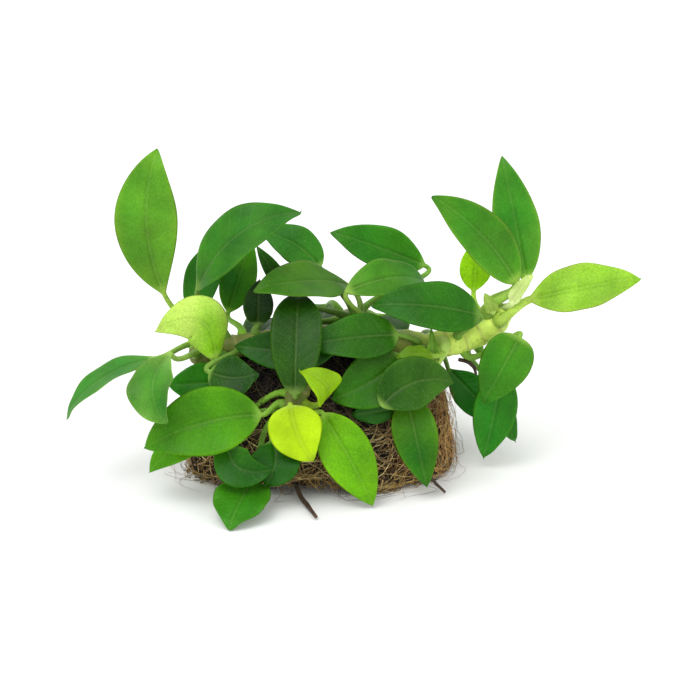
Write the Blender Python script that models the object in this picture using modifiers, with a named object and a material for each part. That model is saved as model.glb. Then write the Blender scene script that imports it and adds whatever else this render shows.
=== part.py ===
"""Anubias on stone: a small-leaved anubias whose rhizome creeps over a stone wrapped in coir.

Every leaf is one piece, petiole and blade together. The rhizome is split at its main forks.
The stone stands on its flat underside, whose centre is the origin. X runs along the stone,
Y points to its back and Z up. The tables below are in millimetres and degrees.
"""

from dataclasses import dataclass

import bmesh
import bpy
import numpy as np
from mathutils import Vector

MM = 0.001
GAP = 0.3                        # clearance that touching pieces keep
COLLECTION = "anubias_on_stone"

# stone: a rounded block, cut by a few flat breaks
STONE_HALF = (28.5, 18.0, 20.5)  # half axes about the stone's middle
STONE_MIDDLE = 9.0               # height of that middle above the flat underside
STONE_POWER = 2.6                # 2 is an ellipsoid, higher is boxier
STONE_BREAKS = (                 # outward direction and distance of each flat break
    ((0.75, -0.45, 0.48), 25.5),
    ((-0.62, 0.40, 0.68), 25.5),
    ((0.15, 0.80, 0.58), 21.0),
    ((-0.35, -0.75, 0.55), 20.5),
    ((0.55, 0.60, 0.58), 24.5),
)

# coir mat: a shell that lies over the stone
MAT_CLEARANCE = 0.9
MAT_THICKNESS = 1.8
MAT_EDGE = 4.0                   # mean height of its lower edge
MAT_EDGE_WAVE = 1.6
MAT_FLARE = 1.4                  # how far that edge spreads outward
MAT_SEGMENTS = 22
MAT_RINGS = 7

# leaf blade and petiole
BLADE_THICKNESS = 0.8
BLADE_STATIONS = (0.0, 0.1, 0.24, 0.4, 0.56, 0.72, 0.87)
PETIOLE_STATIONS = (0.0, 0.3, 0.6, 0.85)
MID_POINT = 0.45                 # where a section's inner points stand, as a share of its half width
ROUND = 0.87                     # sine of 60 degrees, which makes a petiole's section a hexagon

# rhizome pieces: points of the centre line with the radius at each
RHIZOMES = {
    "rhizome_centre": ((26.4, -6.2, 32.4, 3.2), (18.0, -8.0, 34.4, 3.3), (8.0, -8.5, 35.4, 3.2),
                       (-2.0, -8.5, 35.4, 3.2), (-12.0, -8.0, 34.2, 3.0)),
    "rhizome_right": ((27.8, -5.9, 32.5, 3.2), (33.0, -4.5, 33.2, 3.4), (38.5, -3.2, 34.6, 3.6),
                      (43.0, -2.4, 36.8, 3.5), (45.5, -2.0, 39.5, 2.6)),
    "rhizome_left": ((-12.8, -7.9, 34.0, 2.8), (-18.0, -7.0, 33.2, 2.8), (-24.0, -6.5, 31.8, 2.7),
                     (-30.0, -7.5, 30.5, 2.3)),
    "rhizome_front": ((-1.5, -12.6, 32.2, 2.3), (-3.0, -17.5, 29.0, 2.5), (-5.0, -21.0, 24.5, 2.6),
                      (-6.5, -22.6, 19.0, 2.3)),
    "rhizome_back": ((9.5, -4.6, 35.8, 2.3), (10.0, 0.5, 36.0, 2.5), (8.5, 7.0, 35.2, 2.5),
                     (6.0, 13.0, 33.2, 2.0)),
}


@dataclass
class Leaf:
    """One leaf: where its petiole starts on a rhizome, and its blade from base to tip."""

    name: str
    stem: str                    # the rhizome piece it grows from
    at: float                    # place along that piece, 0 to 1
    side: float                  # angle round it: 0 on top, 90 on its right as it grows, -90 on its left
    base: tuple
    tip: tuple
    face: tuple                  # where the upper surface looks
    width: float
    bow: float = 1.0             # how far the midrib arches towards the face
    sway: float = 0.0            # how far it swings to the right, seen from the face with the tip up
    lean: float = 0.5            # place of the arch along the blade
    curl: float = 14.0           # bend of each half blade: up towards the face, or down if negative
    belly: float = 0.43          # where the blade is widest
    full: float = 0.85           # lower is rounder, higher is more pointed
    twist: float = 0.0           # turn of the blade from base to tip
    stalk: float = 0.75          # radius of the petiole at the rhizome
    via: tuple = None            # point the petiole bends towards on its way to the blade


LEAVES = (
    Leaf("leaf_left_1", "rhizome_left", 0.93, 30, (-37.5, -3, 45), (-38.5, 3, 80), (0, -1, 0.1), 15.5,
         belly=0.5, sway=-3.3),
    Leaf("leaf_left_2", "rhizome_left", 0.80, -60, (-24.5, -15, 32.5), (-38.5, -18, 40.5), (0, -1, 0.3),
         13.0, bow=3, sway=7, curl=-25, full=0.7),
    Leaf("leaf_left_3", "rhizome_left", 0.55, 10, (-29, -6, 47), (-3.5, -4, 66.5), (-0.5, -0.6, 0.7),
         16.5, bow=6.5, belly=0.47),
    Leaf("leaf_left_4", "rhizome_left", 0.75, 60, (-31.5, 2, 38), (-23.5, 6, 58), (-0.5, -1, 0), 10),
    Leaf("leaf_left_5", "rhizome_left", 0.35, 40, (-22.5, 4, 38), (-16.5, 8, 56), (0, -1, 0.1), 9),
    Leaf("leaf_left_6", "rhizome_left", 0.12, 0, (-14.5, -7, 38.5), (-14, -5, 49.5), (0, -1, -0.1), 7.5,
         full=0.6),
    Leaf("leaf_left_7", "rhizome_left", 0.35, -90, (-25.5, -19.5, 30.8), (-14, -21, 31.1),
         (0, -0.8, 0.6), 11, bow=-1, sway=1, full=0.6),
    Leaf("leaf_left_8", "rhizome_left", 0.99, -60, (-34.0, -24, 37.3), (-34.5, -36, 24),
         (-0.5, -0.8, 0.5), 13, bow=3, sway=2.2, curl=30, belly=0.5, full=0.8, via=(-33.5, -21, 32.5)),
    Leaf("leaf_left_9", "rhizome_left", 0.99, 60, (-39, -12, 31.5), (-61, -20, 19), (0, -0.1, 1), 10,
         bow=3.5),
    Leaf("leaf_left_10", "rhizome_left", 0.60, -110, (-20.5, -15, 26.4), (-36, -16, 26), (0, -0.9, 0.5),
         10, full=0.7),
    Leaf("leaf_left_11", "rhizome_left", 0.55, 110, (-22, 8, 30), (-30, 25, 15), (-0.3, 1, 0.6),
         12, bow=2),
    Leaf("leaf_front_1", "rhizome_front", 0.62, -30, (-5, -26, 27.5), (-4.5, -7, 47.5), (0, -1, 0.5),
         12.5, bow=3, belly=0.52, full=0.48),
    Leaf("leaf_front_2", "rhizome_centre", 0.52, -100, (4.5, -15, 35.5), (-20, -15, 36), (0, -0.85, 0.5),
         10.5, sway=-1.2, full=0.7),
    Leaf("leaf_front_3", "rhizome_front", 0.70, -110, (1, -26, 25.5), (-4, -27, 34.5),
         (0.9, -0.8, 0.1), 9,
         bow=6),
    Leaf("leaf_front_4", "rhizome_front", 0.90, -40, (-6, -26.5, 25), (-0.5, -31, 12.5), (0, -1, 0.3), 13,
         sway=1, belly=0.36, full=0.7),
    Leaf("leaf_front_5", "rhizome_front", 0.85, -110, (1.5, -23, 21.5), (13.5, -31, 1), (0, -1, 0.4),
         12.5, sway=-0.5, full=0.75),
    Leaf("leaf_front_6", "rhizome_front", 0.78, 50, (-13, -25, 22), (-40.5, -31, 16), (-0.1, -1, 0.5),
         16.5, bow=2, sway=1.7, full=0.8),
    Leaf("leaf_front_7", "rhizome_front", 0.62, 90, (-24.5, -21.5, 16.5), (-40.5, -25, 7),
         (-0.1, -1, 0.5), 8, sway=1.5, via=(-17, -22, 18)),
    Leaf("leaf_front_8", "rhizome_front", 0.90, 70, (-21.5, -27, 17), (-10, -33, 11.5), (0, -1, 0.3), 10,
         sway=4, curl=30),
    Leaf("leaf_front_9", "rhizome_front", 1.0, 10, (-10.5, -25.5, 15.5), (-12, -32.5, 6.8), (0, -1, 0.3),
         12, sway=-1.5, full=0.6),
    Leaf("leaf_front_10", "rhizome_front", 0.99, 75, (-15.5, -27.5, 5.8), (-20, -43, 1), (0, -0.3, 1),
         13.5, full=0.5, via=(-14, -25, 8.5)),
    Leaf("leaf_mid_1", "rhizome_centre", 0.10, -60, (19.5, -12, 37.5), (-3.5, -17, 36.5), (0, -0.8, 0.6),
         11.5, bow=2, belly=0.36, full=0.75),
    Leaf("leaf_mid_2", "rhizome_right", 0.30, 50, (39.5, -9, 41.5), (12.8, -10.5, 44.6), (0, -0.75, 0.65),
         13, bow=3, belly=0.38, full=0.75),
    Leaf("leaf_mid_3", "rhizome_centre", 0.08, -115, (15.5, -23.5, 23.5), (33, -19, 28), (0, -1, 0.4), 13,
         sway=-3, full=0.75, via=(22, -22, 24)),
    Leaf("leaf_mid_4", "rhizome_centre", 0.05, -85, (20.5, -14, 33), (3.5, -20, 24), (0, -1, 0.5), 13.5,
         sway=-1.5, full=0.7),
    Leaf("leaf_mid_5", "rhizome_centre", 0.18, -140, (22, -18.5, 22.5), (26.5, -27, 4), (0, -1, 0.3), 11,
         belly=0.34, full=0.6),
    Leaf("leaf_mid_6", "rhizome_right", 0.10, 90, (28, -13, 32.5), (19, -16, 33.5), (0, -0.6, 0.8), 5),
    Leaf("leaf_mid_7", "rhizome_centre", 0.35, -120, (19, -18.3, 21), (8, -21, 20.3), (0, -1, 0.3), 6,
         via=(19, -17.5, 26)),
    Leaf("leaf_back_1", "rhizome_back", 0.45, -60, (-7.5, 10, 41), (-15.5, 10, 53.5), (0, -1, 0.3), 4.5),
    Leaf("leaf_back_2", "rhizome_back", 0.35, -20, (0.5, 6, 49), (-14.5, 10, 57), (0.2, -0.9, 0.6), 10,
         sway=1.6, full=0.7),
    Leaf("leaf_back_3", "rhizome_back", 0.24, 10, (8, 4, 44.7), (-15, -15, 50), (0, -0.6, 0.8), 12.5,
         bow=3.5, sway=-1, belly=0.52, via=(10.5, 4, 42)),
    Leaf("leaf_back_4", "rhizome_back", 0.55, 40, (27, 16, 46.5), (3, 14, 56), (0, -0.85, 0.6), 12),
    Leaf("leaf_back_5", "rhizome_back", 0.02, 40, (7, -6, 46.5), (28, 7.5, 43.8), (0, -0.65, 0.75), 11.5,
         bow=4.5, via=(6, -7, 43)),
    Leaf("leaf_back_6", "rhizome_back", 0.99, -20, (2, 24, 33), (-3, 40, 14), (0, 1, 0.7), 13, bow=3),
    Leaf("leaf_back_7", "rhizome_back", 0.90, 70, (15, 22, 31), (20, 38, 15), (0.2, 1, 0.7), 13, bow=3),
    Leaf("leaf_back_8", "rhizome_back", 0.75, -90, (-9, 20, 30), (-20, 34, 16), (-0.2, 1, 0.7), 12.5,
         bow=3),
    Leaf("leaf_back_9", "rhizome_back", 0.60, 110, (20, 22, 20), (23, 31, 4), (0, 1, 0.2), 11),
    Leaf("leaf_back_10", "rhizome_back", 0.99, 150, (3, 25, 20), (1, 34, 2), (0, 1, 0.2), 12,
         via=(5, 23, 27)),
    Leaf("leaf_back_11", "rhizome_centre", 0.80, 50, (-11, 22, 21), (-16, 30, 4), (-0.1, 1, 0.2), 11,
         via=(-10, 21, 33)),
    Leaf("leaf_right_1", "rhizome_right", 0.86, 10, (48.5, -3, 48), (27.5, -6, 70.5), (0.2, -1, 0.4), 12,
         sway=1.8, full=0.65, stalk=1.2),
    Leaf("leaf_right_2", "rhizome_right", 0.99, -30, (51.5, 1, 47.5), (45, 6, 77.5), (0, -1, 0.2), 11.5,
         stalk=1.3),
    Leaf("leaf_right_3", "rhizome_right", 0.70, -30, (39, 6, 43), (39.5, 8, 56), (0, -1, 0.1), 8),
    Leaf("leaf_right_4", "rhizome_right", 0.92, 80, (52.5, -2, 43.3), (79, -4, 49.5), (0, -0.8, 0.7),
         12.5, stalk=1.2),
    Leaf("leaf_right_5", "rhizome_right", 0.35, 150, (49.3, -9, 36), (40.5, -12, 19.5), (-0.1, -1, 0.3),
         12.5, belly=0.33, full=0.6),
    Leaf("leaf_right_6", "rhizome_right", 0.50, 170, (46, -5, 26), (41.5, -8, 3), (0, -1, 0.2), 11),
    Leaf("leaf_right_7", "rhizome_right", 0.20, -120, (33.5, 13, 19.2), (45.5, 1, 9.5), (0.2, -1, 0.3),
         10, belly=0.53, full=0.8, via=(32, 11, 25)),
    Leaf("leaf_right_8", "rhizome_right", 0.40, -160, (43.5, 1, 19.5), (50.5, 1, 3.5), (0, -1, 0.2), 6),
    Leaf("leaf_right_9", "rhizome_right", 0.10, -80, (27, 14, 28), (30, 28, 14), (0.3, 1, 0.7),
         11, bow=2),
)

# loose roots: points of the centre line with the radius at each
ROOTS = {
    "root_right": ((35.0, -5.0, 28.6, 0.5), (37.0, -5.5, 28.2, 0.5), (38.6, -5.5, 26.8, 0.45),
                   (39.2, -5.6, 25.0, 0.3)),
    "root_side": ((25.0, -19.5, 11.0, 0.45), (26.5, -20.5, 7.0, 0.45), (28.0, -21.0, 3.5, 0.4),
                  (31.0, -22.5, 0.8, 0.35)),
    "root_front": ((-5.0, -23.6, 2.8, 0.55), (-3.8, -26.6, 1.4, 0.6), (-2.0, -31.0, 1.0, 0.55),
                   (0.0, -36.5, 0.9, 0.4)),
}


def unit(vector):
    """The vector at length one."""
    vector = np.asarray(vector, dtype=float)
    return vector / np.linalg.norm(vector)


def square_to(vector, axis):
    """The part of vector at right angles to axis, at length one."""
    vector = np.asarray(vector, dtype=float)
    return unit(vector - vector.dot(axis) * axis)


def smooth_path(points, steps):
    """A Catmull-Rom curve through the points: steps samples on each span, and the last point."""
    points = np.asarray(points, dtype=float)
    first = 2 * points[0] - points[1]
    last = 2 * points[-1] - points[-2]
    padded = np.vstack((first, points, last))
    samples = []
    for a, b, c, d in zip(padded, padded[1:], padded[2:], padded[3:]):
        for t in np.arange(steps) / steps:
            samples.append(0.5 * (2 * b + (c - a) * t + (2 * a - 5 * b + 4 * c - d) * t**2
                                  + (3 * b - a - 3 * c + d) * t**3))
    samples.append(points[-1])
    return np.array(samples)


def bezier(points, t):
    """The point at t on the Bezier curve with these control points."""
    points = [np.asarray(p, dtype=float) for p in points]
    while len(points) > 1:
        points = [(1 - t) * p + t * q for p, q in zip(points, points[1:])]
    return points[0]


def bezier_direction(points, t):
    """The direction of that curve at t."""
    points = [np.asarray(p, dtype=float) for p in points]
    return unit(bezier([q - p for p, q in zip(points, points[1:])], t))


def turned(vector, axis, angle):
    """The vector turned about the axis by an angle in degrees."""
    a = np.radians(angle)
    across = np.cross(axis, vector)
    return vector * np.cos(a) + across * np.sin(a) + axis * axis.dot(vector) * (1 - np.cos(a))


def petiole_start(leaf):
    """Where the petiole leaves its rhizome, and the direction out of it."""
    path = smooth_path(RHIZOMES[leaf.stem], 8)
    place = leaf.at * (len(path) - 1)
    low = min(int(place), len(path) - 2)
    here = path[low] + (path[low + 1] - path[low]) * (place - low)
    axis = unit((path[low + 1] - path[low])[:3])
    up = square_to((0, 0, 1), axis)
    out = turned(up, axis, leaf.side)
    return here[:3] + out * (here[3] + GAP), out


def leaf_sections(leaf):
    """A leaf's sections from rhizome to tip: middle, side, normal, half width, half height and curl."""
    base, tip = np.array(leaf.base, float), np.array(leaf.tip, float)
    chord = unit(tip - base)
    arch = square_to(leaf.face, chord)
    flat = np.cross(chord, arch)
    top = base + (tip - base) * leaf.lean + arch * 2 * leaf.bow + flat * 2 * leaf.sway
    midrib = (base, top, tip)
    start, out = petiole_start(leaf)
    reach = np.linalg.norm(base - start) / 3
    bend = np.array(leaf.via, float) if leaf.via else base - bezier_direction(midrib, 0.0) * reach
    petiole = (start, start + out * reach, bend, base)
    sharpness = np.log(0.5) / np.log(leaf.belly)
    sections = []
    for u in BLADE_STATIONS:
        along = bezier_direction(midrib, u)
        side = turned(square_to(flat, along), along, leaf.twist * u)
        outline = np.sin(np.pi * u**sharpness) ** leaf.full if u else 0.0
        half = max(leaf.width / 2 * outline, leaf.stalk * 0.8)
        thick = BLADE_THICKNESS / 2 if u else leaf.stalk * 0.8 * ROUND
        curl = np.radians(leaf.curl) if u else 0.0
        sections.append((bezier(midrib, u), side, np.cross(side, along), half, thick, curl))
    side = sections[0][1]
    for t in reversed(PETIOLE_STATIONS):
        along = bezier_direction(petiole, t)
        side = square_to(side, along)
        radius = leaf.stalk * (1 - 0.2 * t)
        sections.insert(0, (bezier(petiole, t), side, np.cross(side, along), radius, radius * ROUND, 0.0))
    return sections, tip


def section_ring(middle, side, normal, half, thick, curl):
    """Six points round a section: a hexagon on the petiole, a thin bent lens on the blade."""
    ring = []
    for v, lift in ((-1, 0), (-MID_POINT, -1), (MID_POINT, -1), (1, 0), (MID_POINT, 1), (-MID_POINT, 1)):
        bend = curl * v
        across = half * (np.sin(bend) / curl if curl else v)
        rise = half * ((1 - np.cos(bend)) / curl if curl else 0.0)
        ring.append(middle + side * across + normal * (rise + lift * thick))
    return ring


def leaf_mesh(leaf):
    """A loft from the petiole's hexagon to the blade's thin sections, closed at the tip."""
    sections, tip = leaf_sections(leaf)
    shape = bmesh.new()
    rings = [[shape.verts.new(Vector(p * MM)) for p in section_ring(*s)] for s in sections]
    point = shape.verts.new(Vector(tip * MM))
    shape.faces.new(rings[0])
    for lower, upper in zip(rings, rings[1:]):
        for i in range(len(lower)):
            j = (i + 1) % len(lower)
            shape.faces.new((lower[i], upper[i], upper[j], lower[j]))
    for i in range(len(rings[-1])):
        shape.faces.new((rings[-1][i], point, rings[-1][(i + 1) % len(rings[-1])]))
    bmesh.ops.recalc_face_normals(shape, faces=shape.faces)
    mesh = bpy.data.meshes.new(leaf.name)
    shape.to_mesh(mesh)
    shape.free()
    return mesh


def block_reach(direction):
    """How far the rounded block's surface is from its middle in this direction."""
    share = sum(abs(d / h) ** STONE_POWER for d, h in zip(direction, STONE_HALF))
    return share ** (-1 / STONE_POWER)


def stone_reach(direction):
    """The same for the stone, whose flat breaks cut into the block."""
    reach = block_reach(direction)
    for facing, distance in STONE_BREAKS:
        toward = direction.dot(unit(facing))
        if toward > 0:
            reach = min(reach, distance / toward)
    return reach


def stone_mesh():
    """An icosphere drawn out to the stone's surface and cut flat underneath."""
    shape = bmesh.new()
    bmesh.ops.create_icosphere(shape, subdivisions=3, radius=1.0)
    for vertex in shape.verts:
        direction = unit(vertex.co)
        reach = stone_reach(direction)
        if direction[2] < 0:
            reach = min(reach, STONE_MIDDLE / -direction[2])
        vertex.co = Vector((direction * reach + (0, 0, STONE_MIDDLE)) * MM)
    mesh = bpy.data.meshes.new("stone")
    shape.to_mesh(mesh)
    shape.free()
    return mesh


def mat_edge_angle(around):
    """How far down from straight up the mat reaches at this angle round the stone."""
    waves = np.sin(3 * around + 0.6) + 0.5 * np.sin(7 * around)
    height = MAT_EDGE + MAT_EDGE_WAVE * waves
    run = block_reach(np.array((np.cos(around), np.sin(around), 0.0)))
    return np.pi / 2 + np.arctan2(STONE_MIDDLE - height, run)


def mat_mesh():
    """The open dome of the mat's inner face. Solidify gives it its thickness."""
    shape = bmesh.new()
    bmesh.ops.create_uvsphere(shape, u_segments=MAT_SEGMENTS, v_segments=2 * MAT_RINGS, radius=1.0)
    below = [v for v in shape.verts if v.co.z < -0.01]
    bmesh.ops.delete(shape, geom=below, context="VERTS")
    for vertex in shape.verts:
        around = np.arctan2(vertex.co.y, vertex.co.x)
        share = np.arccos(min(vertex.co.z, 1.0)) / (np.pi / 2)
        down = share * mat_edge_angle(around)
        outward = np.array((np.cos(around), np.sin(around), 0.0))
        direction = outward * np.sin(down) + (0, 0, np.cos(down))
        place = direction * (block_reach(direction) + MAT_CLEARANCE) + (0, 0, STONE_MIDDLE)
        place += outward * MAT_FLARE * share**6
        vertex.co = Vector(place * MM)
    mesh = bpy.data.meshes.new("coir_mat")
    shape.to_mesh(mesh)
    shape.free()
    return mesh


def material(name, colour, roughness):
    """A plain Principled BSDF with this colour and roughness."""
    made = bpy.data.materials.new(name)
    made.use_nodes = True
    shader = made.node_tree.nodes["Principled BSDF"]
    shader.inputs["Base Color"].default_value = (*colour, 1.0)
    shader.inputs["Roughness"].default_value = roughness
    made.diffuse_color = (*colour, 1.0)
    return made


def place(name, data, collection, finish):
    """A new object with this data and material in the collection."""
    made = bpy.data.objects.new(name, data)
    data.materials.append(finish)
    collection.objects.link(made)
    return made


def tube(name, points, collection, finish, resolution=1):
    """A round rod along a smooth path whose points give x, y, z and radius."""
    curve = bpy.data.curves.new(name, "CURVE")
    curve.dimensions = "3D"
    curve.bevel_depth = MM
    curve.bevel_resolution = resolution
    curve.use_fill_caps = True
    spline = curve.splines.new("POLY")
    spline.points.add(len(points) - 1)
    for point, (x, y, z, radius) in zip(spline.points, points):
        point.co = (x * MM, y * MM, z * MM, 1.0)
        point.radius = radius
    return place(name, curve, collection, finish)


def build():
    """Makes every piece of the plant and its stone."""
    for old in list(bpy.data.objects):
        bpy.data.objects.remove(old, do_unlink=True)
    collection = bpy.data.collections.new(COLLECTION)
    bpy.context.scene.collection.children.link(collection)
    rock = material("rock", (0.06, 0.055, 0.05), 0.8)
    coir = material("coir", (0.22, 0.12, 0.05), 0.95)
    rhizome = material("rhizome", (0.55, 0.68, 0.20), 0.45)
    root = material("root", (0.05, 0.03, 0.02), 0.8)
    place("stone", stone_mesh(), collection, rock)
    mat = place("coir_mat", mat_mesh(), collection, coir)
    thickness = mat.modifiers.new("thickness", "SOLIDIFY")
    thickness.thickness = MAT_THICKNESS * MM
    thickness.offset = 1.0
    for name, points in RHIZOMES.items():
        tube(name, smooth_path(points, 3), collection, rhizome)
    for name, points in ROOTS.items():
        tube(name, smooth_path(points, 3), collection, root, resolution=0)
    for leaf in LEAVES:
        green = material(leaf.name, (0.06, 0.25, 0.02), 0.35)
        place(leaf.name, leaf_mesh(leaf), collection, green)


if __name__ == "__main__":
    build()
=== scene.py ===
"""Anubias on stone in its fine form: veined leaves, a ringed rhizome, and coir and roots over a dark stone.

Lengths in the tables are millimetres in the frame's own axes: X along the stone, Y to its back, Z up.
"""

from dataclasses import dataclass

import bpy
import numpy as np
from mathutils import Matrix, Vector


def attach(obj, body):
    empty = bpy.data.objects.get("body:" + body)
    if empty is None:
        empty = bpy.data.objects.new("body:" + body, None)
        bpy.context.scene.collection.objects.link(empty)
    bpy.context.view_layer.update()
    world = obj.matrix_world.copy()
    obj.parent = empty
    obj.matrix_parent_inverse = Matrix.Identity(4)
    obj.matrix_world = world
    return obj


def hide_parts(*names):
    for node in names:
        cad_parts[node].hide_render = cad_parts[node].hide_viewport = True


bl_info = {
    "name": "Anubias on stone",
    "version": (1, 0),
    "blender": (4, 5, 0),
    "location": "3D View > Sidebar > Anubias",
    "description": "Builds a small-leaved anubias that creeps over a coir-wrapped stone",
    "category": "Add Mesh",
}

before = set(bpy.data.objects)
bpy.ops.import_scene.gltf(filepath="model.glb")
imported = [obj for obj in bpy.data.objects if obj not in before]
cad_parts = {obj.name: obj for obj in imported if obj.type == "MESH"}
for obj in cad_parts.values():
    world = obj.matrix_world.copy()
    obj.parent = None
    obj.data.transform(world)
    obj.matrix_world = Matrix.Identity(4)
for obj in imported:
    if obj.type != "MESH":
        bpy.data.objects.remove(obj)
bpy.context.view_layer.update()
MM = 0.001
BODY = "root"
GAP = 0.3                        # clearance between a petiole and its rhizome in the frame

# stone and coir mat, as the frame has them
STONE_HALF = (28.5, 18.0, 20.5)
STONE_MIDDLE = 9.0
STONE_POWER = 2.6
STONE_BREAKS = (
    ((0.75, -0.45, 0.48), 25.5),
    ((-0.62, 0.40, 0.68), 25.5),
    ((0.15, 0.80, 0.58), 21.0),
    ((-0.35, -0.75, 0.55), 20.5),
    ((0.55, 0.60, 0.58), 24.5),
)
MAT_CLEARANCE = 0.9
MAT_THICKNESS = 1.8
MAT_EDGE = 4.0
MAT_EDGE_WAVE = 1.6
MAT_FLARE = 1.4
MAT_GIRTH_RADIUS = 25.5          # mean radius of the mat, seen from above
MAT_SLOPE = 34.0                 # length down the mat from its top to its edge
FRINGE_CLEARANCE = 0.3           # how near the ground a hanging fibre comes
FRINGE_SPLAY = 0.35              # how far it leans out for each millimetre that it hangs
FRINGE_SPREAD = 0.9              # and for each millimetre that it lies along the ground
FIBRE_WOBBLE = 0.25
FIBRE_SHADE_KEEP = 0.10                # share of its colour that a fibre keeps under the painted shade on the mat's top
SHADE_FADE = (0.45, 0.95)            # where the painted shade on the mat fades out: 0 on top, 1 at its edge

# camera and lights
TARGET = (8.0, 0.0, 29.3)
CAMERA_PLACE = (8.0, -388.1, 170.6)
SENSOR = 36.0
KEY_PLACE = (-260.0, -400.0, 860.0)
KEY_SIZE = 520.0
BROAD_SPREAD = 70.0              # degrees across, which softens its shadows
FILL_PLACE = (620.0, -420.0, 380.0)
FILL_SIZE = 600.0

# rhizome pieces: points of the centre line with the radius at each
RHIZOMES = {
    "rhizome_centre": ((26.4, -6.2, 32.4, 3.2), (18.0, -8.0, 34.4, 3.3), (8.0, -8.5, 35.4, 3.2),
                       (-2.0, -8.5, 35.4, 3.2), (-12.0, -8.0, 34.2, 3.0)),
    "rhizome_right": ((27.8, -5.9, 32.5, 3.2), (33.0, -4.5, 33.2, 3.4), (38.5, -3.2, 34.6, 3.6),
                      (43.0, -2.4, 36.8, 3.5), (45.5, -2.0, 39.5, 2.6)),
    "rhizome_left": ((-12.8, -7.9, 34.0, 2.8), (-18.0, -7.0, 33.2, 2.8), (-24.0, -6.5, 31.8, 2.7),
                     (-30.0, -7.5, 30.5, 2.3)),
    "rhizome_front": ((-1.5, -12.6, 32.2, 2.3), (-3.0, -17.5, 29.0, 2.5), (-5.0, -21.0, 24.5, 2.6),
                      (-6.5, -22.6, 19.0, 2.3)),
    "rhizome_back": ((9.5, -4.6, 35.8, 2.3), (10.0, 0.5, 36.0, 2.5), (8.5, 7.0, 35.2, 2.5),
                     (6.0, 13.0, 33.2, 2.0)),
}

# thick loose roots: points of the centre line with the radius at each
ROOTS = {
    "root_right": ((35.0, -5.0, 28.6, 0.5), (37.0, -5.5, 28.2, 0.5), (38.6, -5.5, 26.8, 0.45),
                   (39.2, -5.6, 25.0, 0.3)),
    "root_side": ((25.0, -19.5, 11.0, 0.45), (26.5, -20.5, 7.0, 0.45), (28.0, -21.0, 3.5, 0.4),
                  (31.0, -22.5, 0.8, 0.35)),
    "root_front": ((-5.0, -23.6, 2.8, 0.55), (-3.8, -26.6, 1.4, 0.6), (-2.0, -31.0, 1.0, 0.55),
                   (0.0, -36.5, 0.9, 0.4)),
}


@dataclass
class Leaf:
    """One leaf: where its petiole starts on a rhizome, its blade from base to tip, and its greens."""

    name: str
    stem: str                    # the rhizome piece it grows from
    at: float                    # place along that piece, 0 to 1
    side: float                  # angle round it: 0 on top, 90 on its right as it grows, -90 on its left
    base: tuple
    tip: tuple
    face: tuple                  # where the upper surface looks
    width: float
    tone: str                    # green of the blade's upper side
    pale_and_sheen: str                    # paler green that its base and margin run to; where it is whitish it paints a sheen
    light: float = None          # how light its greens are; None for a sheath, which holds no deep green
    bow: float = 1.0             # how far the midrib arches towards the face
    sway: float = 0.0            # how far it swings to the right, seen from the face with the tip up
    curl: float = 14.0           # bend of each half blade: up towards the face, or down if negative
    belly: float = 0.43          # where the blade is widest
    full: float = 0.85           # lower is rounder, higher is more pointed
    stalk: float = 0.75          # radius of the petiole at the rhizome
    via: tuple = None            # point the petiole bends towards
    bright: float = 0.25         # how much the paler green covers, from the base, or from the tip if negative; a whitish one there is painted sheen


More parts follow.
